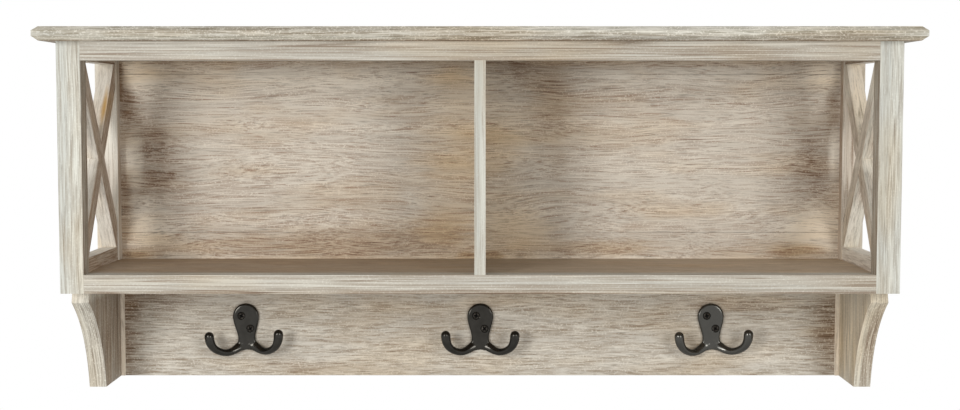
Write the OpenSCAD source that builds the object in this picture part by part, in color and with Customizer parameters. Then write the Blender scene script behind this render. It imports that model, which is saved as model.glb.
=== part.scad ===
// Wall rack with two open cubbies, crossed braces in its side frames, and coat hooks on a board below.
// Origin: on the wall, midway between the two hanger holes. +X is right, +Y goes into the wall, +Z is up.

/* [Carcass] */
// Width over the corner posts
carcass_w = 780; // [600:1:1000]
// Depth from the wall to the front of the posts
carcass_d = 158; // [140:1:220]
// Clear height of the cubbies
opening_h = 198.5; // [150:0.5:300]
// Height of the hook board and the brackets under the carcass
hook_zone_h = 103; // [90:1:150]

/* [Top board] */
// Thickness of the top board
top_t = 13; // [11:0.5:25]
// Overhang of the top board past the posts at each end
top_side_overhang = 17; // [6:1:40]
// Overhang of the top board past the posts at the front
top_front_overhang = 19; // [6:1:40]
// Depth of the bevels on the edge of the top board
nose_run = 5; // [2:0.5:6]
// Height of each of the two bevels on the edge of the top board
nose_rise = 4; // [2:0.5:5]

/* [Posts and rails] */
// Width of a corner post, seen from the front
post_w = 22; // [20:0.5:40]
// Depth of a corner post and of the front rails
post_d = 20; // [18:0.5:30]
// Height of the front rails and of the side top rails
rail_h = 17.5; // [16:0.5:40]
// Height of the side bottom rails, which stand up past the shelf
side_low_rail_h = 31; // [26:0.5:60]
// Thickness of the side rails and of the cross braces
side_stock = 14.5; // [13:0.5:16]
// Step from the inner face of a post back to the side rails
side_reveal = 1.5; // [0.5:0.5:3]

/* [Cross braces] */
// Width of a cross brace
brace_w = 18.5; // [10:0.5:30]
// How far below the corner the middle of a brace meets the post
brace_drop = 9; // [4:1:20]

/* [Boards] */
// Thickness of the upright divider
divider_t = 10.5; // [10:0.5:20]
// Thickness of the shelf board
shelf_t = 12; // [11:0.5:15]
// Thickness of the back panel
panel_t = 6; // [4:0.5:9]
// How far the back panel sits in from the wall
panel_inset = 2; // [1.5:0.5:3]
// Width of the rabbet in each back post that takes the panel
rabbet_w = 4; // [3.5:0.5:5]
// Thickness of the hook board
hook_board_t = 12; // [11:0.5:20]

/* [Brackets] */
// Thickness of a bracket
bracket_t = 16.5; // [15:0.5:20]
// Distance from the front of the carcass back to the top of the bracket's nose
nose_setback = 27; // [20:1:45]
// How far the lip of the nose leans forward of its top
lip_lean = 4; // [0:1:10]
// Height of the nose, from the carcass down to its lip
lip_h = 11.5; // [6:0.5:20]
// Depth of the bracket's foot, out from the wall
foot_d = 75; // [40:1:85]
// How deep the curve of the bracket is hollowed behind a straight line
curve_depth = 11.5; // [5:0.5:15]
// Width of the bead in the corner between bracket and hook board
bead_w = 4.5; // [3:0.5:10]
// How far that bead stands out from the hook board
bead_d = 2; // [1:0.5:8]

/* [Coat hooks] */
// Distance from the inner face of a bracket to the middle of an outer hook
hook_inset = 129.5; // [50:0.5:180]
// Distance from the underside of the carcass down to the top of a hook
hook_drop = 28; // [20:1:40]
// Width of the hook's plate at its round top
plate_w = 26.8; // [22:0.2:34]
// Width of the hook's plate at its neck
neck_w = 17.4; // [14:0.2:20]
// Thickness of the hook's plate
plate_t = 4; // [3:0.5:6]
// Bevel round the front of the hook's plate
plate_bevel = 1.2; // [0.5:0.1:2]
// Distance from the top of the plate down to the middle of its neck
neck_drop = 36.5; // [30:0.5:40]
// Distance from the top of the plate down to the end of its tail, between the arms
tail_drop = 47.5; // [43:0.5:52]
// Radius of the tail's round end
tail_r = 6; // [4:0.5:7]
// Radius of an arm's round section at its root
root_r = 4.5; // [3.5:0.1:6]
// Radius of an arm's round section at the bottom of its bend, where it is thinnest
arm_r = 3.3; // [2.5:0.1:4.5]
// Radius of an arm's round tip
tip_r = 4.6; // [3.5:0.1:6]
// Radius of an arm's bend
bend_r = 18.5; // [14:0.1:20]
// Distance from the middle of the plate to the centre of an arm's bend
bend_reach = 22; // [20:0.5:30]
// Distance from the top of the plate down to the centre of an arm's bend, level with its tip
bend_drop = 30; // [26:0.5:36]
// Angle through which an arm bends
bend_arc = 115; // [95:1:125]
// Distance from the middle of the plate to the start of an arm
arm_root = 3; // [1:0.5:5]
// Angle at which the arms stand out from the board
arm_splay = 29.5; // [15:0.5:45]

/* [Hook screws] */
// Shank of a hook screw
hook_screw_d = 3.2; // [2.5:0.1:4]
// Length of a hook screw
hook_screw_l = 14; // [10:0.5:14]
// Head of a hook screw
hook_screw_head = 7.2; // [6:0.1:8]
// Distance of each hook screw to the side of the hook's middle
hook_screw_side = 4.3; // [2:0.1:6]
// Distance from the top of the plate down to the upper hook screw
hook_screw_upper = 12.6; // [8:0.1:14]
// Distance from the upper hook screw down to the lower one
hook_screw_step = 13.4; // [10:0.1:16]

/* [Hangers] */
// Distance from the hanger holes up to the underside of the top board
hanger_drop = 35; // [30:1:60]
// Width of a hanger plate
hanger_w = 14; // [13:0.5:14.5]
// Thickness of a hanger plate
hanger_t = 1.8; // [1:0.1:2.5]
// Diameter of the keyhole's round opening, which a wall screw's head enters
keyhole_d = 9; // [7:0.1:9.5]
// Width of the keyhole's slot
keyhole_slot_w = 4.6; // [4.2:0.1:5.5]
// Height of the slot's end over the middle of the round opening
keyhole_slot_h = 9; // [6:0.5:12]
// Distance between the hanger's screws and the ends of the keyhole
hanger_screw_gap = 8; // [6:0.5:12]
// Distance from a hanger's screw to the end of the plate
hanger_end = 5; // [4:0.5:8]
// Depth of the pocket behind a hanger plate, from the wall
pocket_depth = 8; // [6:0.5:9]
// Room at each side of the wall screw's head in that pocket
pocket_room = 1; // [0.5:0.5:1.5]
// Shank of a hanger screw
hanger_screw_d = 2.8; // [2:0.1:3.2]
// Length of a hanger screw
hanger_screw_l = 13; // [10:0.5:16]
// Head of a hanger screw
hanger_screw_head = 5.6; // [4:0.1:6]

/* [Dowels, screws and pins] */
// Diameter of a dowel
dowel_d = 5; // [4:0.5:6]
// Depth of a dowel in each of the pieces that it joins
dowel_in = 11; // [8:0.5:12]
// Depth of a dowel in the side rail or the shelf, where the wood is thin
dowel_in_thin = 8; // [6:0.5:8.5]
// Distance from a dowel's middle to the edge of a rail
dowel_edge = 5; // [4.5:0.5:6]
// Distance from a joint's dowels in the shelf to the nearest post
shelf_dowel_gap = 20; // [16:1:24]
// Distance from a bracket's dowels to the nearest post
bracket_dowel_gap = 38; // [34:1:44]
// Distance from the hook board's dowels to its upper and lower edges
board_dowel_gap = 22; // [12:1:30]
// Shank of the long wood screws
screw_d = 3.5; // [3:0.1:4]
// Head of the long wood screws
screw_head = 7; // [6:0.1:8]
// Grip of a long wood screw in the second piece
screw_grip = 8; // [6:0.5:9]
// Length of a panel pin
pin_l = 14; // [10:0.5:16]
// Diameter of a panel pin
pin_d = 1.4; // [1:0.1:1.8]
// Head of a panel pin
pin_head = 3; // [2.4:0.1:3.2]
// Room round a dowel, screw or pin, and between pieces that slide together
fit = 0.1; // [0.05:0.01:0.2]

/* [Hidden] */
$fn = 48;

whitewash = "#d2cabb";
shaded_wood = "#a8977f";
raw_wood = "#c9a877";
bronze = "#3b3632";
steel = "#9a9da0";

// Faces across the rack, for its right half
half_w = carcass_w / 2;
post_in = half_w - post_w;
side_in = post_in + side_reveal;
side_out = side_in + side_stock;
side_mid = (side_in + side_out) / 2;
// Faces from front to back
front = -carcass_d;
front_post_back = front + post_d;
back_post_front = -post_d;
panel_front = -(panel_inset + panel_t);
top_front = front - top_front_overhang;
hook_face = -hook_board_t;
mid_depth = (front_post_back + back_post_front) / 2;
// Heights
z_top = hanger_drop;
z_open_top = z_top - rail_h;
z_open_bottom = z_open_top - opening_h;
z_carcass = z_open_bottom - rail_h;
z_foot = z_carcass - hook_zone_h;
z_low_rail_top = z_carcass + side_low_rail_h;
z_shelf_under = z_open_bottom - shelf_t;
z_hook = z_carcass - hook_drop;

// The cross braces, from the middle of the opening in a side frame
brace_z = (z_open_top + z_low_rail_top) / 2;
brace_run = (back_post_front - front_post_back) / 2;
brace_climb = (z_open_top - z_low_rail_top) / 2 - brace_drop;
brace_angle = atan2(brace_climb, brace_run);
brace_long = 2 * norm([brace_run, brace_climb]) + 4 * brace_w;

// The hollow of a bracket is part of a circle through the lip and the foot
nose_y = front + nose_setback;
lip = [nose_y - lip_lean, z_carcass - lip_h];
foot = [-foot_d, z_foot];
chord = foot - lip;
chord_l = norm(chord);
curve_r = (chord_l * chord_l / 4 + curve_depth * curve_depth) / (2 * curve_depth);
curve_centre = (lip + foot) / 2 + (curve_r - curve_depth) / chord_l * [chord[1], -chord[0]];
// Corners of the blank, past the lip and the foot, so that the cut crosses both edges
blank_over = 0.1;
blank_lip = lip + blank_over * (lip - [nose_y, z_carcass]);
blank_foot = foot + blank_over * [-foot_d, 0];

// Hangers and hooks
hanger_x = (post_in + rabbet_w + half_w) / 2;
hanger_screw_top = keyhole_slot_h + hanger_screw_gap;
hanger_screw_low = -keyhole_d / 2 - hanger_screw_gap;
hook_pitch = side_in - hook_inset;
hook_places = [-hook_pitch, 0, hook_pitch];
arm_steps = 7;
thin_step = 3;
hook_screw_spots = [[-hook_screw_side, -hook_screw_upper],
                    [hook_screw_side, -hook_screw_upper - hook_screw_step]];

// Places of dowels, screws and pins on the right half
front_dowel_z = [z_top - dowel_edge, z_carcass + dowel_edge];
side_dowel_z = [z_open_top + dowel_edge, z_low_rail_top - dowel_edge, z_open_bottom - dowel_edge];
shelf_dowel_y = [front_post_back + shelf_dowel_gap, back_post_front - shelf_dowel_gap];
bracket_dowel_y = [front_post_back + bracket_dowel_gap, back_post_front - bracket_dowel_gap];
board_dowel_z = [z_carcass - board_dowel_gap, z_foot + board_dowel_gap];
board_dowel_x = [-1, 0, 1] * (side_in - board_dowel_gap * 3);
top_screw_x = [-3, -1, 1, 3] * carcass_w / 8;
divider_screw_y = [mid_depth - brace_run / 2, mid_depth + brace_run / 2];
pin_z = [for (i = [0.5 : 1 : 3.5]) z_open_bottom + i * (z_top - z_open_bottom) / 4];

// A block between two opposite corners
module block(low, high) translate(low) cube(high - low);

// What is drawn for the right half, on the right or mirrored to the left
module on_side(right) mirror([right ? 0 : 1, 0, 0]) children();

module both_sides() {
    on_side(true) children();
    on_side(false) children();
}

// A straight peg at a place, running from -before to +after along x, y or z
module peg(place, along, before, after, d, extra = 0) {
    turn = along == "x" ? [0, 90, 0] : along == "y" ? [-90, 0, 0] : [0, 0, 0];
    translate(place) rotate(turn) translate([0, 0, -before - extra])
        cylinder(d = d + 2 * extra, h = before + after + 2 * extra);
}

// A countersunk screw whose head is flush at z = 0 and whose point is down; extra makes its hole
module screw(d, l, head, extra = 0) {
    cone = (head - d) / 2;
    tip = d;
    difference() {
        union() {
            translate([0, 0, -cone]) cylinder(d1 = d + 2 * extra, d2 = head + 2 * extra, h = cone);
            translate([0, 0, tip - l]) cylinder(d = d + 2 * extra, h = l - tip - cone + 0.01);
            translate([0, 0, -l]) cylinder(d1 = d / 4 + 2 * extra, d2 = d + 2 * extra, h = tip + 0.01);
        }
        if (extra == 0) cross_recess(head, cone);
    }
}

// The cross-shaped recess of a screw head
module cross_recess(head, cone) {
    arm = head * 0.6;
    slot = head * 0.13;
    for (a = [0, 90]) rotate([0, 0, a])
        translate([-arm / 2, -slot / 2, -cone * 0.6]) cube([arm, slot, cone]);
}

// Dowels, as solids or, with extra, as their holes
module front_frame_pegs(extra = 0) both_sides() for (z = front_dowel_z)
    peg([post_in, front + post_d / 2, z], "x", dowel_in, dowel_in, dowel_d, extra);

module side_frame_pegs(extra = 0) both_sides() for (z = side_dowel_z) {
    peg([side_mid, front_post_back, z], "y", dowel_in, dowel_in, dowel_d, extra);
    peg([side_mid, back_post_front, z], "y", dowel_in, dowel_in_thin, dowel_d, extra);
}

module shelf_pegs(extra = 0) both_sides() for (y = shelf_dowel_y)
    peg([side_in, y, z_open_bottom - shelf_t / 2], "x", dowel_in, dowel_in_thin, dowel_d, extra);

module bracket_pegs(extra = 0) both_sides() for (y = bracket_dowel_y)
    peg([side_mid, y, z_carcass], "z", dowel_in, dowel_in_thin, dowel_d, extra);

module hook_board_pegs(extra = 0) {
    both_sides() for (z = board_dowel_z)
        peg([side_in, hook_face / 2, z], "x", dowel_in, dowel_in, dowel_d, extra);
    for (x = board_dowel_x)
        peg([x, hook_face / 2, z_shelf_under], "z", dowel_in, dowel_in_thin, dowel_d, extra);
}

// Screws up through the top rails into the top board
module top_screws(extra = 0) {
    for (x = top_screw_x) translate([x, front + post_d / 2, z_open_top]) mirror([0, 0, 1])
        screw(screw_d, rail_h + screw_grip, screw_head, extra);
    both_sides() translate([side_mid, mid_depth, z_open_top]) mirror([0, 0, 1])
        screw(screw_d, rail_h + screw_grip, screw_head, extra);
}

// Screws up through the shelf board into the divider
module divider_screw_set(extra = 0) for (y = divider_screw_y)
    translate([0, y, z_shelf_under]) mirror([0, 0, 1])
        screw(screw_d, shelf_t + 2 * screw_grip, screw_head, extra);

// Pins through the back panel into the posts and the divider
module pins(extra = 0) {
    for (x = [-1, 0, 1] * (post_in + rabbet_w / 2)) for (z = pin_z)
        translate([x, -panel_inset, z]) {
            peg([0, 0, 0], "y", pin_l, 0, pin_d, extra);
            peg([0, 0, 0], "y", 0, pin_head / 5, pin_head, extra);
        }
}

module top_board() color(whitewash) difference() {
    intersection() {
        rotate([90, 0, 90]) linear_extrude(height = carcass_w + 2 * top_side_overhang, center = true)
            polygon([[0, z_top], [top_front + nose_run, z_top], [top_front, z_top + nose_rise],
                     [top_front, z_top + top_t - nose_rise], [top_front + nose_run, z_top + top_t],
                     [0, z_top + top_t]]);
        rotate([90, 0, 0]) linear_extrude(height = -top_front) polygon(top_end_outline());
    }
    top_screws(fit);
}

// The top board's outline from the front, with a bevel above and below at both ends
function top_end_outline() = let (e = half_w + top_side_overhang, i = e - nose_run,
                                  low = z_top + nose_rise, high = z_top + top_t - nose_rise)
    [[-i, z_top], [i, z_top], [e, low], [e, high], [i, z_top + top_t], [-i, z_top + top_t],
     [-e, high], [-e, low]];

module front_post(right) color(whitewash) difference() {
    on_side(right) block([post_in, front, z_carcass], [half_w, front_post_back, z_top]);
    front_frame_pegs(fit);
    side_frame_pegs(fit);
}

module back_post(right) color(whitewash) difference() {
    on_side(right) difference() {
        block([post_in, back_post_front, z_carcass], [half_w, 0, z_top]);
        block([post_in - 1, panel_front - fit, z_open_bottom], [post_in + rabbet_w, 1, z_top + 1]);
        translate([hanger_x, -hanger_t - fit, 0]) hanger_outline(hanger_t + 1, fit);
        translate([hanger_x, -pocket_depth, 0]) keyhole(pocket_depth, pocket_room);
    }
    side_frame_pegs(fit);
    pins(fit);
    hanger_screw_set(fit);
}

module front_top_rail() color(whitewash) difference() {
    block([-post_in, front, z_open_top], [post_in, front_post_back, z_top]);
    front_frame_pegs(fit);
    top_screws(fit);
}

module front_bottom_rail() color(whitewash) difference() {
    block([-post_in, front, z_carcass], [post_in, front_post_back, z_open_bottom]);
    front_frame_pegs(fit);
}

module side_top_rail(right) color(shaded_wood) difference() {
    on_side(right) block([side_in, front_post_back, z_open_top], [side_out, back_post_front, z_top]);
    side_frame_pegs(fit);
    top_screws(fit);
}

module side_bottom_rail(right) color(shaded_wood) difference() {
    on_side(right)
        block([side_in, front_post_back, z_carcass], [side_out, back_post_front, z_low_rail_top]);
    side_frame_pegs(fit);
    shelf_pegs(fit);
    bracket_pegs(fit);
}

// A brace of the right side frame, cut to fit between the posts and rails; lean -1 falls towards the wall
module brace_bar(lean, x_low, x_high) intersection() {
    block([x_low, front_post_back, z_low_rail_top], [x_high, back_post_front, z_open_top]);
    translate([side_mid, mid_depth, brace_z]) rotate([lean * brace_angle, 0, 0])
        cube([2 * side_stock, brace_long, brace_w], center = true);
}

// The two braces cross in a halved joint: each keeps one half of its thickness there
module brace(right, lean) color(shaded_wood) on_side(right) difference() {
    brace_bar(lean, side_in, side_out);
    if (lean < 0) brace_bar(-lean, side_mid, side_out + 1);
    else brace_bar(-lean, side_in - 1, side_mid);
}

module divider() color(whitewash) difference() {
    block([-divider_t / 2, front, z_open_bottom], [divider_t / 2, panel_front, z_top]);
    block([-divider_t, front - 1, z_open_top], [divider_t, front_post_back + fit, z_top + 1]);
    divider_screw_set(fit);
    pins(fit);
}

module shelf_board() color(shaded_wood) difference() {
    block([-side_in, front_post_back, z_shelf_under], [side_in, 0, z_open_bottom]);
    both_sides() block([post_in - fit, back_post_front - fit, z_shelf_under - 1],
                       [side_in + 1, 1, z_open_bottom + 1]);
    shelf_pegs(fit);
    hook_board_pegs(fit);
    divider_screw_set(fit);
}

module back_panel() color(shaded_wood) difference() {
    block([-post_in - rabbet_w + fit, panel_front, z_open_bottom],
          [post_in + rabbet_w - fit, -panel_inset, z_top]);
    pins(fit);
}

module hook_board() color(whitewash) difference() {
    union() {
        block([-side_in, hook_face, z_foot], [side_in, 0, z_carcass]);
        block([-post_in, hook_face, z_foot], [post_in, 0, z_shelf_under]);
    }
    hook_board_pegs(fit);
    hook_screw_set(fit);
}

module bracket(right) color(whitewash) difference() {
    on_side(right) difference() {
        translate([side_in, 0, 0]) rotate([90, 0, 90]) linear_extrude(height = bracket_t)
            polygon([[0, z_carcass], [nose_y, z_carcass], blank_lip, blank_foot, [0, z_foot]]);
        translate([side_in - 1, curve_centre[0], curve_centre[1]]) rotate([0, 90, 0])
            cylinder(r = curve_r, h = bracket_t + 2, $fn = 180);
    }
    bracket_pegs(fit);
    hook_board_pegs(fit);
}

module corner_bead(right) color(raw_wood) on_side(right)
    block([side_in - bead_w, hook_face - bead_d, z_foot], [side_in, hook_face, z_carcass]);

// A disc of the hook's plate, bevelled round its front
module plate_disc(drop, r) translate([0, 0, -drop]) rotate([90, 0, 0]) {
    cylinder(r = r, h = plate_t - plate_bevel, $fn = 40);
    cylinder(r = r - plate_bevel, h = plate_t, $fn = 40);
}

// The middle of an arm: straight from its root at step 0, then round the bend to its tip
function bend_point(a) = [bend_reach - bend_r * sin(a - 90), 0, -bend_drop - bend_r * cos(a - 90)];
function arm_point(i) = i > 0 ? bend_point(bend_arc * (arm_steps - i) / (arm_steps - 1)) :
    bend_point(bend_arc) + (bend_point(bend_arc)[0] - arm_root) * [-1, 0, -1 / tan(bend_arc)];

function arm_section(i) = i < thin_step ? root_r + (arm_r - root_r) * i / thin_step :
    arm_r + (tip_r - arm_r) * (i - thin_step) / (arm_steps - thin_step);

// One cast hook; its back lies on the board, and z = 0 is the top of its plate
module hook_casting() {
    hull() {
        plate_disc(plate_w / 2, plate_w / 2);
        plate_disc(neck_drop, neck_w / 2);
    }
    hull() {
        plate_disc(neck_drop, neck_w / 2);
        plate_disc(tail_drop - tail_r, tail_r);
    }
    for (s = [0, 1]) mirror([s, 0, 0]) translate([0, -plate_t / 2, 0]) rotate([0, 0, -arm_splay])
        for (i = [0 : arm_steps - 1]) hull() for (k = [i, i + 1])
            translate(arm_point(k)) sphere(r = arm_section(k), $fn = 20);
}

module coat_hook(x) color(bronze) difference() {
    translate([x, hook_face, z_hook]) intersection() {
        hook_casting();
        block([-hook_pitch, -carcass_d, -hook_zone_h], [hook_pitch, 0, 1]);
    }
    hook_screw_set(fit);
}

module hook_screw_set(extra = 0) for (x = hook_places) for (s = hook_screw_spots)
    translate([x + s[0], hook_face - plate_t, z_hook + s[1]]) rotate([90, 0, 0])
        screw(hook_screw_d, hook_screw_l, hook_screw_head, extra);

// The outline of a hanger plate as a plate of a given thickness, from the plane y = 0 towards the wall
module hanger_outline(t, extra = 0) {
    end_r = hanger_w / 2;
    low = hanger_screw_low - hanger_end + end_r;
    high = hanger_screw_top + hanger_end - end_r;
    for (z = [low, high]) peg([0, 0, z], "y", 0, t, hanger_w + 2 * extra);
    block([-end_r - extra, 0, low], [end_r + extra, t, high]);
}

// The keyhole, widened by extra, as a cut of a given depth from y = 0 towards the wall
module keyhole(depth, extra = 0) {
    w = extra > 0 ? keyhole_d : keyhole_slot_w;
    peg([0, 0, 0], "y", 1, depth + 1, keyhole_d + 2 * extra);
    peg([0, 0, keyhole_slot_h], "y", 1, depth + 1, w + 2 * extra);
    block([-w / 2 - extra, -1, 0], [w / 2 + extra, depth + 1, keyhole_slot_h]);
}

module hanger_screw_set(extra = 0) both_sides() for (z = [hanger_screw_top, hanger_screw_low])
    translate([hanger_x, 0, z]) rotate([-90, 0, 0])
        screw(hanger_screw_d, hanger_screw_l, hanger_screw_head, extra);

module hanger_plate(right) color(steel) difference() {
    on_side(right) translate([hanger_x, -hanger_t, 0]) difference() {
        hanger_outline(hanger_t);
        keyhole(hanger_t);
    }
    hanger_screw_set(fit);
}

module coat_hook_screws() color(bronze) hook_screw_set();
module hanger_screws() color(steel) hanger_screw_set();
module front_frame_dowels() color(raw_wood) front_frame_pegs();
module side_frame_dowels() color(raw_wood) side_frame_pegs();
module shelf_dowels() color(raw_wood) shelf_pegs();
module bracket_dowels() color(raw_wood) bracket_pegs();
module hook_board_dowels() color(raw_wood) hook_board_pegs();
module top_board_screws() color(steel) top_screws();
module divider_screws() color(steel) divider_screw_set();
module panel_pins() color(steel) pins();

top_board();
front_post(false);  // front_post_left
front_post(true);  // front_post_right
back_post(false);  // back_post_left
back_post(true);  // back_post_right
front_top_rail();
front_bottom_rail();
side_top_rail(false);  // side_top_rail_left
side_top_rail(true);  // side_top_rail_right
side_bottom_rail(false);  // side_bottom_rail_left
side_bottom_rail(true);  // side_bottom_rail_right
brace(false, -1);  // brace_falling_left
brace(false, 1);  // brace_rising_left
brace(true, -1);  // brace_falling_right
brace(true, 1);  // brace_rising_right
divider();
shelf_board();
back_panel();
hook_board();
bracket(false);  // bracket_left
bracket(true);  // bracket_right
corner_bead(false);  // corner_bead_left
corner_bead(true);  // corner_bead_right
coat_hook(hook_places[0]);  // coat_hook_left
coat_hook(hook_places[1]);  // coat_hook_middle
coat_hook(hook_places[2]);  // coat_hook_right
coat_hook_screws();
hanger_plate(false);  // hanger_plate_left
hanger_plate(true);  // hanger_plate_right
hanger_screws();
front_frame_dowels();
side_frame_dowels();
shelf_dowels();
bracket_dowels();
hook_board_dowels();
top_board_screws();
divider_screws();
panel_pins();
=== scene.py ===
# A wall rack in limewashed softwood with cast coat hooks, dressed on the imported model.
# Metres in the rack's own frame: +X right, +Y into the wall, +Z up.
import math
import bpy
import bmesh
from mathutils import Matrix, Vector


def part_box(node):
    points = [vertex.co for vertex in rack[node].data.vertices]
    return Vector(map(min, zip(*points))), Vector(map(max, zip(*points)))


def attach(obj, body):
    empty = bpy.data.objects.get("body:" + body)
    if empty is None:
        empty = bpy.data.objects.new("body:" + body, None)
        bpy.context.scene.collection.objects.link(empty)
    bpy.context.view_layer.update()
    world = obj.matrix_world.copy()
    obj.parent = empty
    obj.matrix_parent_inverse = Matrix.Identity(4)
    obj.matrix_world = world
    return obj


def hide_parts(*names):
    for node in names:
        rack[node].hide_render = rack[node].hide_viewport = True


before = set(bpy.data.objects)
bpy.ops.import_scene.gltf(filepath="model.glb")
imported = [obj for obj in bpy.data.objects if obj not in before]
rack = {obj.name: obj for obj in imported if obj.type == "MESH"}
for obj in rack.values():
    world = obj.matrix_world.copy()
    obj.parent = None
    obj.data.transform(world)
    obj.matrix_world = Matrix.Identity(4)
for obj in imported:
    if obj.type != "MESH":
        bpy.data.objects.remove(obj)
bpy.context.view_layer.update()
scene = bpy.context.scene
scene.view_settings.view_transform = "Standard"

# Camera
# It stands 1.53 m in front of the wall, level with the upper part of the cubbies and tilted a little down,
# with a 56 mm lens on a 36 mm sensor. That is the perspective of the photograph.
camera = bpy.data.objects.new("camera", bpy.data.cameras.new("camera"))
camera.data.sensor_width = 36.0
camera.data.lens = 55.875
camera.location = (0.0, -1.5337, -0.0244)
LOOKS_DOWN = 3.8013
camera.rotation_euler = (math.radians(90 - LOOKS_DOWN), 0.0, 0.0)
scene.collection.objects.link(camera)
scene.camera = camera


# Floor and backdrop
# A plain pale studio floor, 0.6 m under the rack, that fades out at its rim into a white backdrop. The
# backdrop is white to the camera and in reflections, and gives only a soft fill as light.
# Sizes are in metres.
FLOOR_RADIUS = 1.9
FLOOR_MIDDLE = (0.0, -0.4, -0.9)
FADE_STARTS = 0.9
FADE_ENDS = 1.85
FILL = 0.5


def add(tree, kind, links=None, **settings):
    """Adds a shader node. links gives each input a value or another node's output; settings are its own."""
    made = tree.nodes.new("ShaderNode" + kind)
    for key, value in settings.items():
        setattr(made, key, value)
    for socket, value in (links or {}).items():
        if isinstance(value, bpy.types.NodeSocket):
            tree.links.new(value, made.inputs[socket])
        else:
            made.inputs[socket].default_value = value
    return made


def linear(code):
    """An sRGB hex colour as linear RGBA."""
    parts = [int(code[i:i + 2], 16) / 255 for i in (1, 3, 5)]
    return [c / 12.92 if c <= 0.04045 else ((c + 0.055) / 1.055) ** 2.4 for c in parts] + [1.0]


def new_material(name):
    """An empty node material and its tree."""
    made = bpy.data.materials.new(name)
    made.use_nodes = True
    made.node_tree.nodes.clear()
    return made, made.node_tree


world = bpy.data.worlds.new("studio")
world.use_nodes = True
sky = world.node_tree
sky.nodes.clear()
path = add(sky, "LightPath").outputs
seen = path["Is Camera Ray"]
for ray in ("Is Glossy Ray", "Is Transmission Ray"):
    seen = add(sky, "Math", {0: seen, 1: path[ray]}, operation="MAXIMUM").outputs[0]
level = add(sky, "MapRange", {"Value": seen, "To Min": FILL, "To Max": 1.0}).outputs[0]
backdrop = add(sky, "Background", {"Color": (1, 1, 1, 1), "Strength": level})
add(sky, "OutputWorld", {"Surface": backdrop.outputs[0]})
scene.world = world

floor_mesh = bpy.data.meshes.new("floor")
disc = bmesh.new()
bmesh.ops.create_circle(disc, cap_ends=True, radius=FLOOR_RADIUS, segments=96)
disc.to_mesh(floor_mesh)
disc.free()
floor = bpy.data.objects.new("floor", floor_mesh)
floor.location = FLOOR_MIDDLE
scene.collection.objects.link(floor)
pale_floor, tree = new_material("pale_studio_floor")
place = add(tree, "TexCoord").outputs["Object"]
reach = add(tree, "VectorMath", {0: place}, operation="LENGTH").outputs["Value"]
fade = add(tree, "MapRange", {"Value": reach, "From Min": FADE_STARTS, "From Max": FADE_ENDS},
           interpolation_type="SMOOTHSTEP")
matt = add(tree, "BsdfDiffuse", {"Color": linear("#f4f3f1")})
clear = add(tree, "BsdfTransparent")
both = add(tree, "MixShader", {0: fade.outputs[0], 1: matt.outputs[0], 2: clear.outputs[0]})
add(tree, "OutputMaterial", {"Surface": both.outputs[0]})
floor_mesh.materials.append(pale_floor)


# Lamps
# Two soft boxes stand left and right of the camera, level with the rack and a little above it, as the paired
# highlights on each hook and the shadows that fall away from both sides on the hook board show.
LAMPS_AIM = Vector((0, 0, -0.12))


def soft_box(name, place, watts, wide=0.45, tall=0.7):
    """Hangs a soft box at a place and turns it to the middle of the rack. Sizes are in metres."""
    lamp = bpy.data.lights.new(name, "AREA")
    lamp.shape = "RECTANGLE"
    lamp.size = wide
    lamp.size_y = tall
    lamp.energy = watts
    holder = bpy.data.objects.new(name, lamp)
    holder.location = place
    holder.rotation_euler = (LAMPS_AIM - Vector(place)).to_track_quat("-Z", "Y").to_euler()
    scene.collection.objects.link(holder)


soft_box("soft_box_left", (-0.95, -1.55, 0.12), watts=14.3)
soft_box("soft_box_right", (0.95, -1.55, 0.12), watts=8.6)


# Top board
# A solid softwood board, its front and end edges moulded with a bevel above and below. It is stained brown,
# painted with a thin white limewash along the grain, wiped back, and toned with dark and golden wax.
MM = 0.001


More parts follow.
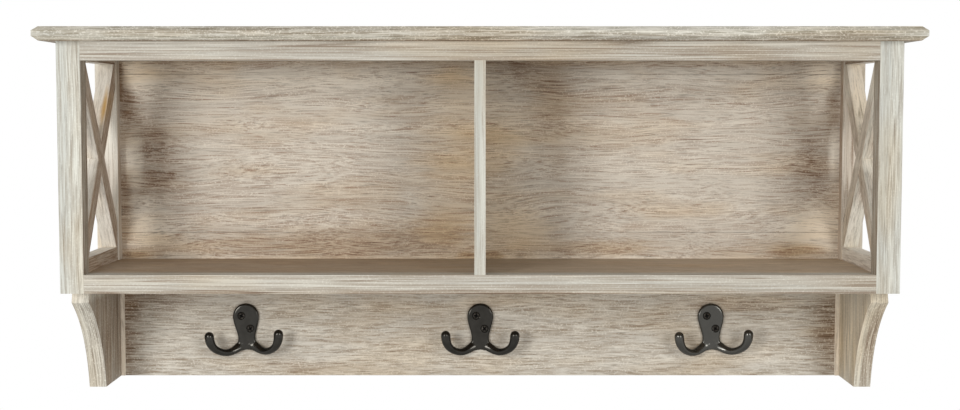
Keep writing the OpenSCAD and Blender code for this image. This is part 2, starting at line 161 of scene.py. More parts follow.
def limewashed_wood(name, grain, cover, strokes=1.0, run=1.0, fine=1.1, rings=0.3, sway=0.0, specks=0.2,
                    inside=0.0, white="#dcd8cb", cool="#c9c7bd", stain="#8b7864", wax=(), bare=()):
    """Stained softwood under a thin brushed limewash, seen as chalky white strokes with brown wood between.
    grain is the direction of its fibres, cover how much wash was left on it, strokes, rings and specks how
    strongly the brush, the growth rings and specks of wash show, run how long the strokes are, fine the
    width of the finest in millimetres, sway how far the grain wanders, in metres, and inside how strongly
    faces that look into the rack are darkened as painted shade. white and cool are the wash's two tints,
    stain the wood's. wax lists toned places: their middle's x and z, half width and half height in
    millimetres, the share of dark wax, which also paints shade, less than none for more wash and for painted
    light, and of golden wax. bare lists, in the same four sizes, where the finish has worn off."""
    wood, tree = new_material(name)
    place = add(tree, "TexCoord").outputs["Object"]
    facing = add(tree, "NewGeometry").outputs["True Normal"]
    along = Vector(grain).normalized()
    across = Vector((0, 1, 0)) if abs(along.x) > 0.5 else Vector((1, 0, 0))
    axes = [add(tree, "VectorMath", {0: place, 1: axis}, operation="DOT_PRODUCT").outputs["Value"]
            for axis in (along, across, along.cross(across))]
    # Faces turned away from the axis across the fibres show straight fibres, also where they curve, but end
    # grain shows dots
    turned = add(tree, "VectorMath", {0: facing, 1: across}, operation="DOT_PRODUCT").outputs["Value"]
    cut_end = add(tree, "VectorMath", {0: facing, 1: along}, operation="DOT_PRODUCT").outputs["Value"]
    turned = add(tree, "Math", {0: turned}, operation="ABSOLUTE").outputs[0]
    cut_end = add(tree, "Math", {0: cut_end}, operation="ABSOLUTE").outputs[0]
    cut_end = add(tree, "Math", {0: cut_end, 1: 0.25}, operation="SUBTRACT").outputs[0]
    turned = add(tree, "Math", {0: turned, 1: cut_end}, operation="MAXIMUM").outputs[0]
    turned = add(tree, "MapRange", {"Value": turned, "From Min": 0.68, "From Max": 0.72, "To Min": 0.04})
    turned = turned.outputs[0]
    axes[2] = add(tree, "Math", {0: axes[2], 1: turned}, operation="MULTIPLY").outputs[0]
    laid = add(tree, "CombineXYZ", dict(enumerate(axes))).outputs[0]
    seed = add(tree, "ObjectInfo").outputs["Random"]
    # Each piece is sawn from another place in the wood, and its grain wanders once in some 140 mm
    own_cut = {0: seed, 1: (7.3, 3.1, 5.7), 2: laid}
    laid = add(tree, "VectorMath", own_cut, operation="MULTIPLY_ADD").outputs[0]
    drift = add(tree, "VectorMath", {0: laid, 1: (7, 22, 22)}, operation="MULTIPLY").outputs[0]
    drift = add(tree, "TexNoise", {"Vector": drift, "Scale": 1.0, "Detail": 1.0}).outputs["Color"]
    drift = add(tree, "VectorMath", {0: drift, 1: (0.5, 0.5, 0.5)}, operation="SUBTRACT").outputs[0]
    wander = {0: drift, 1: (0, sway, sway), 2: laid}
    flow = add(tree, "VectorMath", wander, operation="MULTIPLY_ADD").outputs[0]

    # Scratchy strokes, brush strokes twice as wide, the board's broad bands, and uneven wiping: the length
    # and width of each in millimetres, and how strongly it shows
    kinds = ((16 * run, fine, 2.0 * strokes), (50 * run, 2.1 * fine, 1.1 * strokes),
             (250, 11, 0.5), (100, 40, 0.3))
    layers = []
    wash = cover - sum(weight for long, wide, weight in kinds) / 2
    for long, wide, weight in kinds:
        stretch = (1 / long / MM, 1 / wide / MM, 1 / wide / MM)
        layer = add(tree, "VectorMath", {0: flow, 1: stretch}, operation="MULTIPLY").outputs[0]
        layer = add(tree, "TexNoise", {"Vector": layer, "Scale": 1.0, "Detail": 1.0}).outputs[0]
        wash = add(tree, "Math", {0: layer, 1: weight, 2: wash}, operation="MULTIPLY_ADD").outputs[0]
        layers.append(layer)

    # Growth rings: thin dark lines that follow the grain, about 3 mm apart
    ring = add(tree, "VectorMath", {0: flow, 1: (3.5 / run, 60, 60)}, operation="MULTIPLY").outputs[0]
    ring = add(tree, "TexNoise", {"Vector": ring, "Scale": 1.0, "Detail": 1.0}).outputs[0]
    ring = add(tree, "Math", {0: ring, 1: 16.0}, operation="MULTIPLY").outputs[0]
    ring = add(tree, "Math", {0: ring, 1: 0.5}, operation="PINGPONG").outputs[0]
    ring = add(tree, "MapRange", {"Value": ring, "From Max": 0.14, "To Min": rings, "To Max": 0.0})
    wash = add(tree, "Math", {0: wash, 1: ring.outputs[0]}, operation="SUBTRACT").outputs[0]

    # Flakes of thicker wash, about 1.5 mm across
    speck = add(tree, "VectorMath", {0: flow, 1: (560, 700, 700)}, operation="MULTIPLY").outputs[0]
    speck = add(tree, "TexNoise", {"Vector": speck, "Scale": 1.0, "Detail": 3.0, "Roughness": 0.6}).outputs[0]
    speck = add(tree, "MapRange", {"Value": speck, "From Min": 0.54, "From Max": 0.66, "To Max": specks})
    wash = add(tree, "Math", {0: wash, 1: speck.outputs[0]}, operation="ADD").outputs[0]

    # Wax, golden by chance in places about 110 mm long, and both kinds where they are listed, with edges
    # torn along the grain in tongues about 40 mm long and 5 mm wide
    golden = add(tree, "VectorMath", {0: laid, 1: (9, 30, 30)}, operation="MULTIPLY").outputs[0]
    golden = add(tree, "TexNoise", {"Vector": golden, "Scale": 1.0, "Detail": 2.0}).outputs[0]
    golden = add(tree, "MapRange", {"Value": golden, "From Min": 0.48, "From Max": 0.70, "To Max": 0.45})
    golden = golden.outputs[0]
    torn = add(tree, "VectorMath", {0: flow, 1: (25, 190, 190)}, operation="MULTIPLY").outputs[0]
    torn = add(tree, "TexNoise", {"Vector": torn, "Scale": 1.0, "Detail": 2.0}).outputs["Color"]
    torn = add(tree, "VectorMath", {0: torn, 1: (0.5, 0.5, 0.5)}, operation="SUBTRACT").outputs[0]
    behind = add(tree, "VectorMath", {0: facing, 1: (0, 9, 0)}, operation="DOT_PRODUCT").outputs["Value"]
    behind = add(tree, "Math", {0: behind, 1: 0.0}, operation="MAXIMUM").outputs[0]

    def soft_place(x, z, half_x, half_z):
        """The share of a soft-edged oval place, from 0 outside it and behind the rack to 1 in its middle."""
        reach = add(tree, "VectorMath", {0: place, 1: (x * MM, 0, z * MM)}, operation="SUBTRACT").outputs[0]
        squeeze = (1 / half_x / MM, 0, 1 / half_z / MM)
        reach = add(tree, "VectorMath", {0: reach, 1: squeeze}, operation="MULTIPLY").outputs[0]
        frayed = {0: torn, 1: (1.1, 0, 0.6), 2: reach}
        reach = add(tree, "VectorMath", frayed, operation="MULTIPLY_ADD").outputs[0]
        reach = add(tree, "VectorMath", {0: reach}, operation="LENGTH").outputs["Value"]
        reach = add(tree, "Math", {0: reach, 1: behind}, operation="ADD").outputs[0]
        share = {"Value": reach, "From Min": 0.1, "From Max": 1.5, "To Min": 1.0, "To Max": 0.0}
        return add(tree, "MapRange", share, interpolation_type="SMOOTHSTEP").outputs[0]

    # Painted shade: faces that look into the rack get the dark tint, as strongly as inside says
    outward = add(tree, "VectorMath", {0: place, 1: (1, 0, 0)}, operation="DOT_PRODUCT").outputs["Value"]
    outward = add(tree, "Math", {0: outward}, operation="SIGN").outputs[0]
    inward = {0: facing, 1: (-inside, 0, 0)}
    sideways = add(tree, "VectorMath", inward, operation="DOT_PRODUCT").outputs["Value"]
    dark = add(tree, "Math", {0: sideways, 1: outward}, operation="MULTIPLY", use_clamp=True).outputs[0]
    for x, z, half_x, half_z, darker, warmer in wax:
        spot = soft_place(x, z, half_x, half_z)
        dark = add(tree, "Math", {0: spot, 1: darker, 2: dark}, operation="MULTIPLY_ADD").outputs[0]
        golden = add(tree, "Math", {0: spot, 1: warmer, 2: golden}, operation="MULTIPLY_ADD").outputs[0]
    # A share of dark wax below none leaves more wash instead, in a paler tint, and this also paints light.
    # Dark wax catches where the wash is thin, and where toned places overlap, neither share passes 1
    more_wash_and_light = add(tree, "Math", {0: dark, 1: -0.5}, operation="MULTIPLY", use_clamp=True).outputs[0]
    kept = {0: more_wash_and_light, 1: 0.6, 2: wash}
    wash = add(tree, "Math", kept, operation="MULTIPLY_ADD", use_clamp=True).outputs[0]
    catch = add(tree, "Math", {0: wash, 1: -1.3, 2: 1 + 1.3 * cover}, operation="MULTIPLY_ADD").outputs[0]
    dark = add(tree, "Math", {0: dark, 1: catch}, operation="MULTIPLY", use_clamp=True).outputs[0]
    golden = add(tree, "Math", {0: golden, 1: 1.0}, operation="MULTIPLY", use_clamp=True).outputs[0]

    # The wash in two tints over the stain, golden and dark wax over both, the dark tint also standing for
    # painted shade, and bare wood where it is worn
    paint = add(tree, "MapRange", {"Value": layers[2], "From Min": 0.40, "From Max": 0.60}).outputs[0]
    paint = add(tree, "Mix", {0: paint, 6: linear(white), 7: linear(cool)}, data_type="RGBA").outputs[2]
    paint = add(tree, "Mix", {0: more_wash_and_light, 6: paint, 7: linear("#f4ecdd")}, data_type="RGBA").outputs[2]
    colour = add(tree, "Mix", {0: wash, 6: linear(stain), 7: paint}, data_type="RGBA").outputs[2]
    for share, tint in ((golden, "#f6e4ca"), (dark, "#b6a190")):
        waxed = {0: share, 6: colour, 7: linear(tint)}
        colour = add(tree, "Mix", waxed, data_type="RGBA", blend_type="MULTIPLY").outputs[2]
    for worn in bare:
        worn = soft_place(*worn)
        colour = add(tree, "Mix", {0: worn, 6: colour, 7: linear("#b8935b")}, data_type="RGBA").outputs[2]

    # Open pores: dark dashes some 10 mm long. Real ones are 0.2 mm wide; these are 0.8 mm, so that they show
    dash = add(tree, "VectorMath", {0: flow, 1: (100 / run, 1200, 1200)}, operation="MULTIPLY").outputs[0]
    dash = add(tree, "TexNoise", {"Vector": dash, "Scale": 1.0, "Detail": 2.0, "Roughness": 0.6}).outputs[0]
    sunk = {"Value": dash, "From Min": 0.56, "From Max": 0.74, "To Max": 0.55 * strokes}
    dash = add(tree, "MapRange", sunk).outputs[0]
    colour = add(tree, "Mix", {0: dash, 6: colour, 7: linear("#5f5447")}, data_type="RGBA").outputs[2]
    # The wash is chalky, and the wood between its strokes a little glossier
    rough = add(tree, "MapRange", {"Value": wash, "To Min": 0.5, "To Max": 0.72}).outputs[0]
    # The brush strokes stand up a little and the pores are sunk
    height = add(tree, "Math", {0: layers[1], 1: dash}, operation="SUBTRACT").outputs[0]
    bump = add(tree, "Bump", {"Height": height, "Strength": 0.35, "Distance": 0.6 * MM}).outputs[0]
    skin = add(tree, "BsdfPrincipled", {"Base Color": colour, "Roughness": rough, "Normal": bump,
                                        "Specular IOR Level": 0.3})
    add(tree, "OutputMaterial", {"Surface": skin.outputs[0]})
    return wood


def finish_wood(names, wood, round_off=0.6):
    """Gives CAD pieces their wood, and rounds off their edges, in millimetres, as sanding does."""
    for name in names:
        piece = rack[name]
        for slot in piece.material_slots:
            slot.material = wood
        piece.modifiers.new("joined", "WELD").merge_threshold = 1e-6
        edge = piece.modifiers.new("sanded", "BEVEL")
        edge.width = round_off * MM
        edge.segments = 2
        edge.limit_method = "ANGLE"
        edge.angle_limit = math.radians(25)
        piece.modifiers.new("shaded", "WEIGHTED_NORMAL").keep_sharp = False


ACROSS = (1, 0, 0)
UP = (0, 0, 1)
INWARD = (0, 1, 0)
# The thin dark line along the nose's underside, 35 mm up, is painted shade under the overhang.
TOP_WAX_AND_SHADE = ((-60, 39, 190, 40, 0.3, 0.1), (330, 39, 60, 40, 0.2, 0.2), (-300, 39, 140, 40, 0.2, 0.0),
           (0, 35, 700, 0.8, 0.8, 0.1), (-210, 37, 190, 2, -0.5, 0.0), (190, 38, 210, 4, 0.3, 0.0),
           (190, 46, 210, 3, -0.7, 0.0))
top_wood = limewashed_wood("limewashed_pine_top", ACROSS, 0.58, strokes=0.95, run=1.5, rings=0.2,
                           specks=0.8, stain="#8d8673", wax=TOP_WAX_AND_SHADE)
finish_wood(["top_board"], top_wood, round_off=1.0)

# Front rails
# Narrow planed softwood rails, dowelled between the front posts and flush with them. The wash was brushed
# along them in long strokes.
# Along the top rail's upper edge, 33.5 mm up, light is painted over the shadow of the top board's nose.
RAIL_WAX_AND_LIGHT = ((0, -199, 600, 4, 0.55, 0.2), (0, 33.5, 700, 2.4, -0.9, 0.0), (120, 21, 260, 30, 0.15, 0.1),
            (-280, 21, 180, 30, 0.12, 0.0), (-200, -190, 190, 14, 0.12, 0.0))
rail_wood = limewashed_wood("limewashed_pine_rails", ACROSS, 0.62, strokes=0.85, run=5.0, rings=0.5,
                            specks=0.3, white="#d2cfc3", cool="#c6c4ba", stain="#948777", wax=RAIL_WAX_AND_LIGHT)
finish_wood(["front_top_rail", "front_bottom_rail"], rail_wood, round_off=1.2)

# Corner posts and divider
# Square softwood posts and a thin upright board, with upright grain and the thickest wash of the rack. The
# posts' inner sides are darkened as painted shade. The back posts' wash is painted nearly white, as painted
# light on their faces inside the cubbies, and then waxed, the right one down its whole length and the left
# one in one place.
post_wood = limewashed_wood("limewashed_pine_posts", UP, 0.73, strokes=0.85, run=2.1, rings=0.2, sway=0.005,
                            inside=0.6, white="#d6d6cc", cool="#c6c7bf", stain="#8f8474")
finish_wood(["front_post_left", "front_post_right"], post_wood)
BACK_POST_WAX = ((376, -80, 14, 150, 0.45, 0.1), (-373, -100, 14, 34, 0.3, 0.0))
lit_back_post_wood = limewashed_wood("limewashed_pine_back_posts_painted_light", UP, 0.95, strokes=0.5, run=2.0, inside=0.4,
                                 white="#ebe6da", cool="#e0dacd", wax=BACK_POST_WAX)
finish_wood(["back_post_left", "back_post_right"], lit_back_post_wood)
divider_wood = limewashed_wood("limewashed_pine_divider", UP, 0.85, strokes=0.5, run=3.0, rings=0.2,
                               white="#cbcabf", cool="#bcbcb3")
finish_wood(["divider"], divider_wood)

# Side frames
# Rails and halved cross braces between the posts. Their edges were brushed nearly white, and their inner
# sides are darkened as painted shade. One edge of the left rising brace has lost its finish in a strip 35 mm
# long, and the right braces have darker places around their crossing, where the wash was scraped off.
SIDE_COLOURS = {"white": "#e9e2d6", "cool": "#dfd8cb", "stain": "#a3988a", "inside": 0.75}
RIGHT_BRACE_COLOURS = {"white": "#ebe4d6", "cool": "#dfd9cb", "stain": "#8f8777", "inside": 0.45}
SIDE_RAIL_WAX = ((385, -170, 30, 14, -0.9, 0.0),)
side_wood = limewashed_wood("limewashed_side_rails", INWARD, 0.8, strokes=0.6, run=1.5, wax=SIDE_RAIL_WAX,
                            **SIDE_COLOURS)
finish_wood(["side_top_rail_left", "side_top_rail_right"], side_wood)
finish_wood(["side_bottom_rail_left", "side_bottom_rail_right"], side_wood)
BRACE_SLOPE = math.radians(54.75)
RIGHT_BRACE_WAX = ((378, 2, 12, 26, -1.3, 0.0), (379, -58, 7, 15, 0.55, 0.0), (379, -106, 7, 18, 0.65, 0.0),
                   (374, -81, 6, 6, -0.4, 0.0), (378, -150, 12, 20, -0.2, 0.0))
WORN_STRIP = (-371.9, -24.0, 2.8, 18.5)
for lean, climb, bare in (("falling", -1, ()), ("rising", 1, (WORN_STRIP,))):
    slope = (0, math.cos(BRACE_SLOPE), climb * math.sin(BRACE_SLOPE))
    brace_wood = limewashed_wood("limewashed_" + lean + "_brace_left", slope, 0.82, strokes=0.65, run=0.8,
                                 rings=0.15, bare=bare, **SIDE_COLOURS)
    finish_wood(["brace_" + lean + "_left"], brace_wood)
    brace_wood = limewashed_wood("limewashed_" + lean + "_brace_right", slope, 0.84, strokes=0.7, run=0.8,
                                 wax=RIGHT_BRACE_WAX, **RIGHT_BRACE_COLOURS)
    finish_wood(["brace_" + lean + "_right"], brace_wood)

# Shelf board
# The floor of the cubbies, a softwood board dowelled between the lower side rails. It was stained brown, and
# hardly any wash was left on it.
SHELF_WAX = ((-260, -187, 260, 60, 0.25, 0.0), (300, -187, 190, 60, -0.4, 0.2))
shelf_wood = limewashed_wood("stained_shelf_board", ACROSS, 0.55, strokes=0.8, white="#ccbaa3",
                             cool="#b8a690", stain="#96826c", wax=SHELF_WAX)
finish_wood(["shelf_board"], shelf_wood)

# Back panel
# A thin veneered panel with a wandering grain. Its cubbies are darker in the corners, as painted shade, and
# down their ends, as dark wax and painted shadows of the braces, with golden wax along the bottom and beside
# the divider. Lighter patches on the ends are painted light that comes through the side frames, and the strip
# under the top rails and each cubby's middle are lightened as painted light against the cubby's shade.
PANEL_WAX_LIGHT_AND_SHADE = (
    (-350, 8, 32, 17, -1.6, 0.3), (-364, -8, 12, 22, 0.75, 0.1), (-358, -34, 13, 20, 0.7, 0.1),
    (-336, -58, 20, 22, 0.65, 0.0), (-324, -84, 28, 20, 0.55, 0.0), (-338, -104, 36, 15, 0.6, 0.1),
    (-365, -125, 8, 40, 0.6, 0.3), (-354, -80, 9, 32, -1.4, 0.1), (-342, -150, 26, 24, -1.3, 0.2),
    (-353, -177, 22, 6, 0.6, 0.9), (-20, -80, 46, 125, -0.35, 0.55), (-140, -168, 150, 22, 0.5, 0.6),
    (-178, 20, 200, 5, 0.2, 0.3), (-178, 4, 190, 12, -0.8, 0.1), (-178, -69, 130, 90, -0.3, 0.0),
    (-12, -178, 12, 5, 0.8, 0.7), (12, -178, 12, 5, 0.8, 0.7), (28, 15, 28, 12, 0.45, 0.1),
    (62, 2, 30, 22, 0.35, 0.3), (74, -40, 22, 50, 0.2, 0.35), (30, -60, 26, 40, -0.5, 0.4),
    (40, -150, 36, 32, -0.9, 0.7), (113, -170, 76, 9, 0.3, 0.6), (200, 20, 190, 5, 0.2, 0.3),
    (230, 5, 140, 10, -0.8, 0.0), (199, -95, 130, 70, -0.5, 0.0), (342, -86, 26, 40, 0.65, 0.0),
    (361, -30, 8, 34, 0.5, 0.1), (350, 8, 24, 16, -1.6, 0.35), (363, -72, 6, 24, -1.6, 0.0),
    (340, -150, 34, 22, -1.6, 0.1), (328, -173, 30, 8, 0.4, 0.8), (0, -181, 400, 3, -0.9, 0.2),
    (-38, -146, 30, 18, 0.1, 0.5), (-31, 5, 26, 12, 0.0, 0.5), (-368, 6, 4, 22, 1.7, 0.1))
panel_wood = limewashed_wood("veneered_back_panel", ACROSS, 0.70, strokes=1.05, run=2.1, fine=0.7,
                             sway=0.02, specks=0.6, white="#d9d0c1", cool="#cac1b3", stain="#9a8370",
                             wax=PANEL_WAX_LIGHT_AND_SHADE)
finish_wood(["back_panel"], panel_wood)

# Hook board
# A softwood board across the bottom of the rack, which carries the coat hooks. It is dowelled between the
# brackets and up into the shelf, and its wash was brushed along it and wiped thin.
# The board is darker at its ends, beside the brackets, as painted shade in the corners.
BOARD_WAX_AND_SHADE = ((-366, -250, 18, 70, 0.7, 0.1), (-335, -222, 50, 16, 0.4, 0.0), (362, -250, 22, 70, 0.6, 0.2),
             (262, -228, 66, 9, 0.3, 0.3), (-186, -291, 38, 8, 0.3, 0.0), (285, -282, 30, 11, -0.5, 0.0))
board_wood = limewashed_wood("limewashed_hook_board", ACROSS, 0.62, strokes=1.0, run=1.1, rings=0.15,
                             sway=0.008, specks=0.6, white="#d5cfc2", cool="#c8c2b6", stain="#928370",
                             wax=BOARD_WAX_AND_SHADE)
finish_wood(["hook_board"], board_wood)

# Brackets and corner beads
# Curved brackets sawn from softwood with upright grain, dowelled up into the side rails, and the thin beads
# that close their corners with the hook board.
# Painted shade darkens both brackets' inner sides, more on the left; on the right one painted light takes
# most of it back.
BRACKET_WAX_LIGHT_AND_SHADE = ((-356, -250, 18, 70, 0.3, 0.0), (356, -250, 18, 70, -1.8, 0.8),
               (379, -260, 12, 50, 0.65, 0.3), (-378, -260, 12, 50, 0.15, 0.0),
               (-379, -203, 12, 8, -1.4, 0.0), (379, -203, 12, 8, -0.5, 0.0))
bracket_wood = limewashed_wood("limewashed_brackets", UP, 0.66, strokes=0.75, run=2.6, fine=0.9, rings=0.4,
                               specks=0.5, inside=0.5, white="#e2dfd2", cool="#cfccc0", stain="#8a7f6f",
                               wax=BRACKET_WAX_LIGHT_AND_SHADE)
finish_wood(["bracket_left", "bracket_right"], bracket_wood)
bead_wood = limewashed_wood("washed_corner_beads", UP, 0.92, strokes=0.5, white="#efe4d2", cool="#e4d8c4")
finish_wood(["corner_bead_left", "corner_bead_right"], bead_wood, round_off=0.4)

# Coat hooks
# Double hooks cast in zinc alloy: a flat waisted plate that flows into two bent arms with round tips, and
# two countersunk holes. They were tumbled smooth, finished in a dark oil-rubbed bronze, and screwed to the
# board by eye.
HOOK_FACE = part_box("hook_board")[0][1] / MM
HOOK_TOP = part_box("coat_hook_middle")[1][2] / MM

# In millimetres from the middle of a hook's upper edge: half of the plate's outline, an arm's middle line
# with its half width, how far the arms reach forward, and the screws' places
PLATE = ((0, 0), (5.1, -1.0), (9.5, -4.0), (12.4, -8.5), (13.4, -13.4), (12.9, -18.5), (11.6, -23.5),
         (10.2, -28.5), (9.2, -32.5), (8.9, -35.5), (9.1, -38.3), (10.2, -41.3), (12.2, -43.9),
         (14.8, -45.6), (15.0, -51.0), (10.5, -50.5), (5.5, -49.0), (0, -47.9))
ARM = ((3.0, -41.0, 4.6), (6.0, -43.2, 4.8), (9.0, -45.2, 4.7), (12.2, -47.2, 4.3), (16.0, -48.8, 3.9),
       (20.0, -49.3, 3.7), (24.4, -48.2, 3.7), (29.2, -45.3, 3.9), (32.6, -41.3, 4.3), (34.6, -36.0, 4.8),
       (35.2, -30.5, 4.95))
ARM_FORWARD = 18.0
SCREW_SPOTS = ((-4.3, -12.6), (4.3, -26.0))

# Each hook's side, its middle in millimetres, its tilt in degrees, and its painted reflection of the soft
# boxes
HOOKS = (("left", -241.0, 2.0, 0.1), ("middle", 0.3, 0.0, 0.0), ("right", 236.6, 1.8, 0.7))


def smooth_line(points, steps):
    """A rounded line through points, with a number of steps between each two."""
    ends = [points[0]] + list(points) + [points[-1]]
    line = []
    for p0, p1, p2, p3 in zip(ends, ends[1:], ends[2:], ends[3:]):
        for i in range(steps):
            t = i / steps
            line.append([0.5 * (2 * b + (c - a) * t + (2 * a - 5 * b + 4 * c - d) * t * t
                                + (3 * b - a - 3 * c + d) * t ** 3) for a, b, c, d in zip(p0, p1, p2, p3)])
    return line + [list(points[-1])]


def skin_rings(mesh, rings):
    """Joins closed rings of points, in metres, into one closed skin."""
    rows = [[mesh.verts.new(point) for point in ring] for ring in rings]
    for low, high in zip(rows, rows[1:]):
        for i in range(len(low)):
            mesh.faces.new((low[i - 1], low[i], high[i], high[i - 1]))
    mesh.faces.new(rows[0])
    mesh.faces.new(rows[-1][::-1])


half = smooth_line(PLATE, 4)
outline = half[:-1] + [[-x, z] for x, z in half[:0:-1]]
# The plate's rim is rounded: how far each level stands in from the outline, and out from the board
RIM = ((0, 0), (0, -2.3), (0.35, -3.1), (1.0, -3.7), (1.9, -4.0))
levels = []
for inset, depth in RIM:
    ring = []
    for i, (x, z) in enumerate(outline):
        before, after = outline[i - 1], outline[(i + 1) % len(outline)]
        side = Vector((after[0] - before[0], after[1] - before[1])).normalized()
        ring.append((Vector((x + side.y * inset, depth, z - side.x * inset))) * MM)
    levels.append(ring)
cast = bmesh.new()
skin_rings(cast, levels)
# Each arm starts flattened inside the plate, reaches forward over 30 mm as it swells to a round bar, and
# ends in half a ball
for hand in (-1, 1):
    line = []
    for x, z, size in smooth_line(ARM, 5):
        forward = min(max((x - 5) / 30, 0), 1) ** 1.4 * ARM_FORWARD
        line.append((Vector((hand * x, -2.2 - forward, z)), size))
    rings = []
    for i, (middle, size) in enumerate(line):
        ahead = (line[min(i + 1, len(line) - 1)][0] - line[max(i - 1, 0)][0]).normalized()
        side = ahead.cross(Vector((0, -1, 0.2))).normalized()
        rings.append((middle, side, side.cross(ahead), size * (0.42 + 0.58 * min(i / 25, 1) ** 1.6), size))
    middle, side, up, size = rings[-1][:4]
    for a in (0.3, 0.6, 0.9, 1.2, 1.45):
        rings.append((middle + ahead * size * math.sin(a), side, up, size * math.cos(a), size * math.cos(a)))
    skin_rings(cast, [[(m + s * math.cos(t) * tall + u * math.sin(t) * deep) * MM
                       for t in (j * math.tau / 24 for j in range(24))] for m, s, u, deep, tall in rings])
bmesh.ops.recalc_face_normals(cast, faces=cast.faces)
hook_mesh = bpy.data.meshes.new("cast_hook")
cast.to_mesh(hook_mesh)
cast.free()
first_hook = bpy.data.objects.new("double_hook_left", hook_mesh)
scene.collection.objects.link(first_hook)


def turned_shape(mesh, spot, profile, steps=40):
    """Adds a closed turned shape whose axis points out of the board; profile gives its radii and depths."""
    skin_rings(mesh, [[Vector((spot[0] + r * math.cos(t), y, spot[1] + r * math.sin(t))) * MM
                       for t in (j * math.tau / steps for j in range(steps))] for r, y in profile])


COUNTERSINK = ((4.7, -5.0), (4.0, -3.9), (3.6, -3.1), (1.7, -1.2), (1.7, 1.0))
sinks = bmesh.new()
for spot in SCREW_SPOTS:
    turned_shape(sinks, spot, COUNTERSINK)
bmesh.ops.recalc_face_normals(sinks, faces=sinks.faces)
sink_mesh = bpy.data.meshes.new("countersinks")
sinks.to_mesh(sink_mesh)
sinks.free()
cutter = bpy.data.objects.new("countersinks", sink_mesh)
scene.collection.objects.link(cutter)
melt = first_hook.modifiers.new("cast_in_one", "REMESH")
melt.mode = "VOXEL"
melt.voxel_size = 0.42 * MM
melt.use_smooth_shade = True
tumble = first_hook.modifiers.new("tumbled", "SMOOTH")
tumble.factor = 0.5
tumble.iterations = 26
drill = first_hook.modifiers.new("countersunk", "BOOLEAN")
drill.operation = "DIFFERENCE"
drill.solver = "EXACT"
drill.object = cutter
made = first_hook.evaluated_get(bpy.context.evaluated_depsgraph_get())
hook_mesh = bpy.data.meshes.new_from_object(made)
first_hook.modifiers.clear()
first_hook.data = hook_mesh
hook_mesh.materials.clear()
bpy.data.objects.remove(cutter)

# Oil-rubbed bronze is nearly black with a brown cast, and glossy on a smooth casting. Its tone changes over
# some 6 mm. The casting's real grit is finer: here it is 0.7 mm across, so that it shows in the highlights.
# Each hook's alpha says how far it is lightened toward #54534f, a painted reflection of the soft boxes.
bronze, tree = new_material("oil_rubbed_bronze")
place = add(tree, "TexCoord").outputs["Object"]
tone = add(tree, "TexNoise", {"Vector": place, "Scale": 160.0, "Detail": 3.0}).outputs[0]
tone = add(tree, "MapRange", {"Value": tone, "From Min": 0.35, "From Max": 0.65}).outputs[0]
colour = add(tree, "Mix", {0: tone, 6: linear("#302e2a"), 7: linear("#373531")}, data_type="RGBA").outputs[2]
pale = add(tree, "ObjectInfo").outputs["Alpha"]
colour = add(tree, "Mix", {0: pale, 6: colour, 7: linear("#54534f")}, data_type="RGBA").outputs[2]
grit = add(tree, "TexNoise", {"Vector": place, "Scale": 1400.0, "Detail": 2.0}).outputs[0]
bump = add(tree, "Bump", {"Height": grit, "Strength": 0.1, "Distance": 0.05 * MM}).outputs[0]
rough = add(tree, "MapRange", {"Value": tone, "To Min": 0.15, "To Max": 0.20}).outputs[0]
skin = add(tree, "BsdfPrincipled", {"Base Color": colour, "Metallic": 0.85, "Roughness": rough,
                                    "Normal": bump})
add(tree, "OutputMaterial", {"Surface": skin.outputs[0]})
hook_mesh.materials.append(bronze)
for side, hook_x, tilt, painted_reflection in HOOKS:
    hook = first_hook
    if side != "left":
        hook = bpy.data.objects.new("double_hook_" + side, hook_mesh)
        scene.collection.objects.link(hook)
    hook.location = (hook_x * MM, HOOK_FACE * MM, HOOK_TOP * MM)
    hook.rotation_euler = (0.0, math.radians(-tilt), 0.0)
    hook.color = (1.0, 1.0, 1.0, painted_reflection)
    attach(hook, "root")
    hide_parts("coat_hook_" + side)

# Hook screws
# Two cross-head screws in each hook, with low domed heads, blackened to match. Each head's edge sits a hair
# below the rim of its countersink, which shows as a dark ring, and the cross is pressed about 2 mm deep.
SCREW = ((0.05, -4.75), (1.2, -4.68), (2.2, -4.45), (2.9, -4.15), (3.55, -3.6), (3.45, -3.1), (1.6, -1.3),
         (1.6, 6.5), (1.0, 8.5), (0.05, 10.0))
blank = bmesh.new()
turned_shape(blank, (0, 0), SCREW)
bmesh.ops.recalc_face_normals(blank, faces=blank.faces)
screw_mesh = bpy.data.meshes.new("cross_head_screw")
blank.to_mesh(screw_mesh)
blank.free()
screw = bpy.data.objects.new("cross_head_screw", screw_mesh)
scene.collection.objects.link(screw)
# The driver's cross narrows as it goes in
cross = bmesh.new()
for wide, tall in ((2.4, 0.75), (0.75, 2.4)):
    corners = ((-wide, -tall), (wide, -tall), (wide, tall), (-wide, tall))
    skin_rings(cross, [[Vector((x * s, y, z * s)) * MM for x, z in corners]
                       for y, s in ((-5.0, 1.15), (-4.2, 1.0), (-2.7, 0.5))])
bmesh.ops.recalc_face_normals(cross, faces=cross.faces)
cross_mesh = bpy.data.meshes.new("driver_cross")
cross.to_mesh(cross_mesh)
cross.free()
driver = bpy.data.objects.new("driver_cross", cross_mesh)
scene.collection.objects.link(driver)
press = screw.modifiers.new("pressed", "BOOLEAN")
press.operation = "DIFFERENCE"
press.solver = "EXACT"
press.object = driver
press.use_self = True
made = screw.evaluated_get(bpy.context.evaluated_depsgraph_get())
pressed = bpy.data.meshes.new_from_object(made)
for unused in (screw, driver):
    bpy.data.objects.remove(unused)
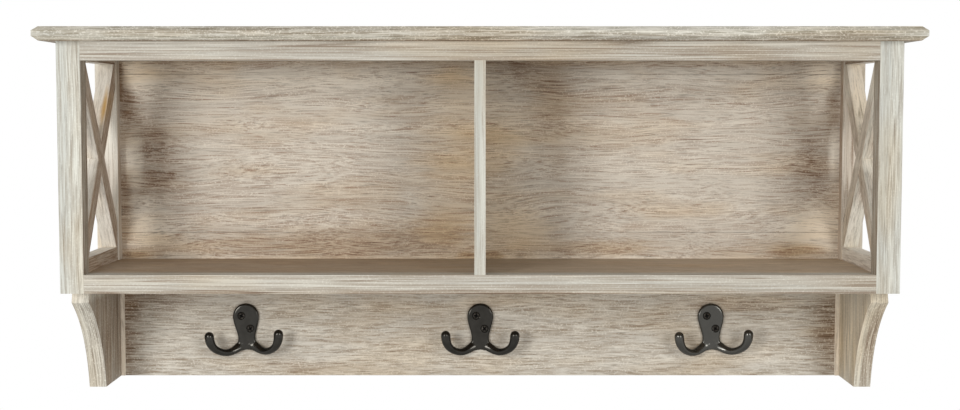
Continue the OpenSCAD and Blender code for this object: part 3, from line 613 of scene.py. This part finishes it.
# Each cross stands at another angle, as the last turn of the driver left it
seats = [(hook_x, tilt, spot) for side, hook_x, tilt, painted_reflection in HOOKS for spot in SCREW_SPOTS]
all_screws = bmesh.new()
for i, (hook_x, tilt, spot) in enumerate(seats):
    start = len(all_screws.verts)
    all_screws.from_mesh(pressed)
    all_screws.verts.ensure_lookup_table()
    fresh = all_screws.verts[start:]
    last_turn = Matrix.Rotation(math.radians(25 + 37 * i), 3, "Y")
    bmesh.ops.rotate(all_screws, verts=fresh, matrix=last_turn)
    seat = Matrix.Rotation(math.radians(-tilt), 3, "Y") @ Vector((spot[0], 0.0, spot[1]))
    bmesh.ops.translate(all_screws, verts=fresh, vec=(seat + Vector((hook_x, HOOK_FACE, HOOK_TOP))) * MM)
set_mesh = bpy.data.meshes.new("hook_screws")
all_screws.to_mesh(set_mesh)
all_screws.free()
# Blackened steel is dark brown with a dull gleam, and rubbed a little paler in spots some 1.5 mm across
blackened, tree = new_material("blackened_steel_screws")
place = add(tree, "TexCoord").outputs["Object"]
wear = add(tree, "TexNoise", {"Vector": place, "Scale": 700.0, "Detail": 3.0}).outputs[0]
wear = add(tree, "MapRange", {"Value": wear, "From Min": 0.4, "From Max": 0.7}).outputs[0]
colour = add(tree, "Mix", {0: wear, 6: linear("#35322e"), 7: linear("#4a4641")}, data_type="RGBA").outputs[2]
# The pressed cross is painted near black, partly blackening left in it and partly painted shade in the
# recess:
# it sets in 4.1 mm in front of the board and is full at 3.3 mm
depth = add(tree, "SeparateXYZ", {0: place}).outputs[1]
depth = add(tree, "MapRange", {"Value": depth, "From Min": (HOOK_FACE - 4.1) * MM,
                               "From Max": (HOOK_FACE - 3.3) * MM}).outputs[0]
colour = add(tree, "Mix", {0: depth, 6: colour, 7: linear("#0b0a09")}, data_type="RGBA").outputs[2]
sheen = add(tree, "Math", {0: 1.0, 1: depth}, operation="SUBTRACT").outputs[0]
rough = add(tree, "MapRange", {"Value": sheen, "To Min": 0.95, "To Max": 0.4}).outputs[0]
sheen = add(tree, "Math", {0: sheen, 1: 0.7}, operation="MULTIPLY").outputs[0]
skin = add(tree, "BsdfPrincipled", {"Base Color": colour, "Metallic": sheen, "Roughness": rough,
                                    "Specular IOR Level": 0.1})
add(tree, "OutputMaterial", {"Surface": skin.outputs[0]})
set_mesh.materials.append(blackened)
hook_screws = bpy.data.objects.new("cross_head_hook_screws", set_mesh)
scene.collection.objects.link(hook_screws)
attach(hook_screws, "root")
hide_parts("coat_hook_screws")

# Hanger plates, screws and pins
# Keyhole plates stamped from sheet steel and let into the back posts, countersunk wood screws, and the pins
# of the back panel, all zinc plated. The plating is silvery grey, with a fine spangle about 2 mm across and
# darker clouds some 8 mm across.
zinc, tree = new_material("zinc_plated_steel")
place = add(tree, "TexCoord").outputs["Object"]
spangle = add(tree, "TexVoronoi", {"Vector": place, "Scale": 500.0}).outputs["Color"]
spangle = add(tree, "SeparateColor", {0: spangle}).outputs[0]
dull = add(tree, "TexNoise", {"Vector": place, "Scale": 120.0, "Detail": 4.0}).outputs[0]
colour = add(tree, "Mix", {0: dull, 6: linear("#b9bcbe"), 7: linear("#8f9294")}, data_type="RGBA").outputs[2]
rough = add(tree, "MapRange", {"Value": spangle, "To Min": 0.28, "To Max": 0.42}).outputs[0]
bump = add(tree, "Bump", {"Height": dull, "Strength": 0.1, "Distance": 0.1 * MM}).outputs[0]
skin = add(tree, "BsdfPrincipled", {"Base Color": colour, "Metallic": 1.0, "Roughness": rough,
                                    "Normal": bump})
add(tree, "OutputMaterial", {"Surface": skin.outputs[0]})
for name in ("hanger_plate_left", "hanger_plate_right", "hanger_screws", "top_board_screws",
             "divider_screws", "panel_pins"):
    for slot in rack[name].material_slots:
        slot.material = zinc

# Dowels
# Turned beech dowels, 5 mm thick, glued into both pieces of a joint. Beech is pale tan with brown flecks
# some 3 mm long and 0.7 mm wide. The dowels are hidden once the rack is together, so it is kept plain.
beech, tree = new_material("turned_beech")
place = add(tree, "TexCoord").outputs["Object"]
fleck = add(tree, "VectorMath", {0: place, 1: (300, 1500, 1500)}, operation="MULTIPLY").outputs[0]
fleck = add(tree, "TexNoise", {"Vector": fleck, "Scale": 1.0, "Detail": 2.0}).outputs[0]
fleck = add(tree, "MapRange", {"Value": fleck, "From Min": 0.5, "From Max": 0.65}).outputs[0]
colour = add(tree, "Mix", {0: fleck, 6: linear("#d8b78c"), 7: linear("#b8895c")}, data_type="RGBA").outputs[2]
skin = add(tree, "BsdfPrincipled", {"Base Color": colour, "Roughness": 0.6})
add(tree, "OutputMaterial", {"Surface": skin.outputs[0]})
for name in ("front_frame_dowels", "side_frame_dowels", "shelf_dowels", "bracket_dowels",
             "hook_board_dowels"):
    for slot in rack[name].material_slots:
        slot.material = beech
